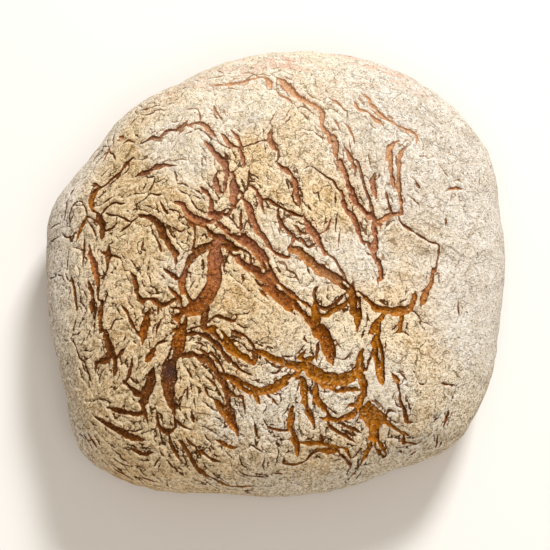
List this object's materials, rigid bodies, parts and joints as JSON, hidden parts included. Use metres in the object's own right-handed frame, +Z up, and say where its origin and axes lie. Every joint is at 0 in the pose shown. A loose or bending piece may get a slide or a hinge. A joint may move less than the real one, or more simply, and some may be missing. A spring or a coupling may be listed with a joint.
{
  "type": "rustic bread loaf",
  "caption": "Round country bread loaf with a flat base, a broad domed crown and a flour-dusted crust torn by wandering cracks.",
  "frame": {"origin": "middle of the loaf's outline, on the flat base", "axes": "+Z up through the crown, +X to the right and +Y to the back when the loaf is seen from its near side"},
  "size_m": [0.251, 0.2461, 0.0836],
  "materials": {
    "floured_crust": "dry baked crust under a cream flour bloom, red-brown to amber in the tears"
  },
  "bodies": {
    "root": {"loaf": "floured_crust"}
  },
  "joints": []
}
